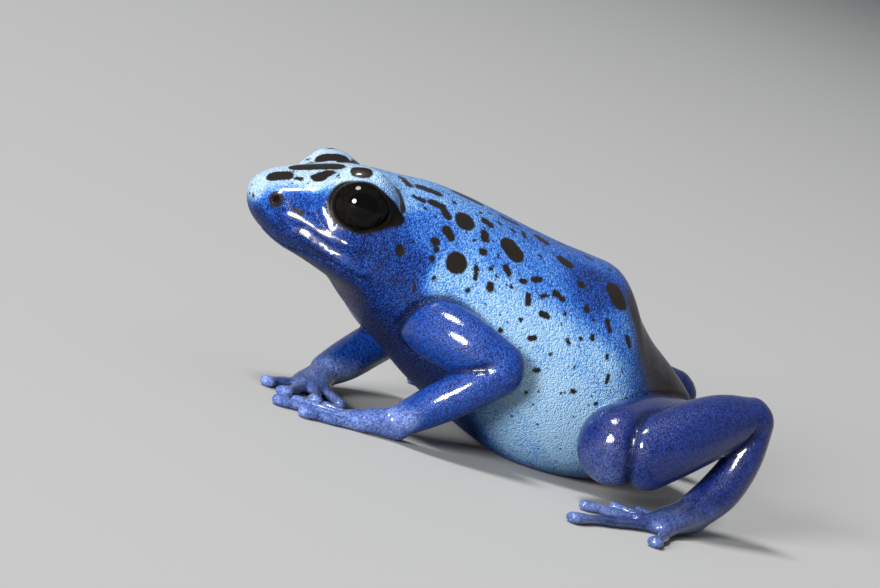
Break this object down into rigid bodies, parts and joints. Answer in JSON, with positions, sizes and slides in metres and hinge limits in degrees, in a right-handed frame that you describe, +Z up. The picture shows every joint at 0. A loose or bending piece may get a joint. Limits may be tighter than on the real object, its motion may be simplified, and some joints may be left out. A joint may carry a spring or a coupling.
{
  "type": "blue poison dart frog",
  "caption": "Life-size blue poison dart frog sitting on its belly with its head raised, forelegs reaching forward, hind legs folded and toes spread, dark spots on a paler blue back.",
  "frame": {"origin": "centre of the bounding box on the floor level, which is the underside of belly, hands and feet", "axes": "-X is the way the snout points, -Y the frog's left side, +Z up"},
  "size_m": [0.048, 0.0482, 0.02],
  "materials": {
    "pale_blue_skin": "moist fine-grained skin",
    "deep_blue_skin": "moist smooth skin",
    "black_eye": "polished"
  },
  "bodies": {
    "root": {"head": "pale_blue_skin", "torso": "pale_blue_skin", "eye_left": "black_eye", "eye_right": "black_eye", "upper_arm_left": "deep_blue_skin", "forearm_left": "deep_blue_skin", "hand_left_palm": "deep_blue_skin", "hand_left_finger_1": "deep_blue_skin", "hand_left_finger_2": "deep_blue_skin", "hand_left_finger_3": "deep_blue_skin", "hand_left_finger_4": "deep_blue_skin", "thigh_left": "deep_blue_skin", "shank_left": "deep_blue_skin", "tarsus_left": "deep_blue_skin", "foot_left_sole": "deep_blue_skin", "foot_left_toe_1": "deep_blue_skin", "foot_left_toe_2": "deep_blue_skin", "foot_left_toe_3": "deep_blue_skin", "foot_left_toe_4": "deep_blue_skin", "foot_left_toe_5": "deep_blue_skin", "upper_arm_right": "deep_blue_skin", "forearm_right": "deep_blue_skin", "hand_right_palm": "deep_blue_skin", "hand_right_finger_1": "deep_blue_skin", "hand_right_finger_2": "deep_blue_skin", "hand_right_finger_3": "deep_blue_skin", "hand_right_finger_4": "deep_blue_skin", "thigh_right": "deep_blue_skin", "shank_right": "deep_blue_skin", "tarsus_right": "deep_blue_skin", "foot_right_sole": "deep_blue_skin", "foot_right_toe_1": "deep_blue_skin", "foot_right_toe_2": "deep_blue_skin", "foot_right_toe_3": "deep_blue_skin", "foot_right_toe_4": "deep_blue_skin", "foot_right_toe_5": "deep_blue_skin"}
  },
  "joints": []
}
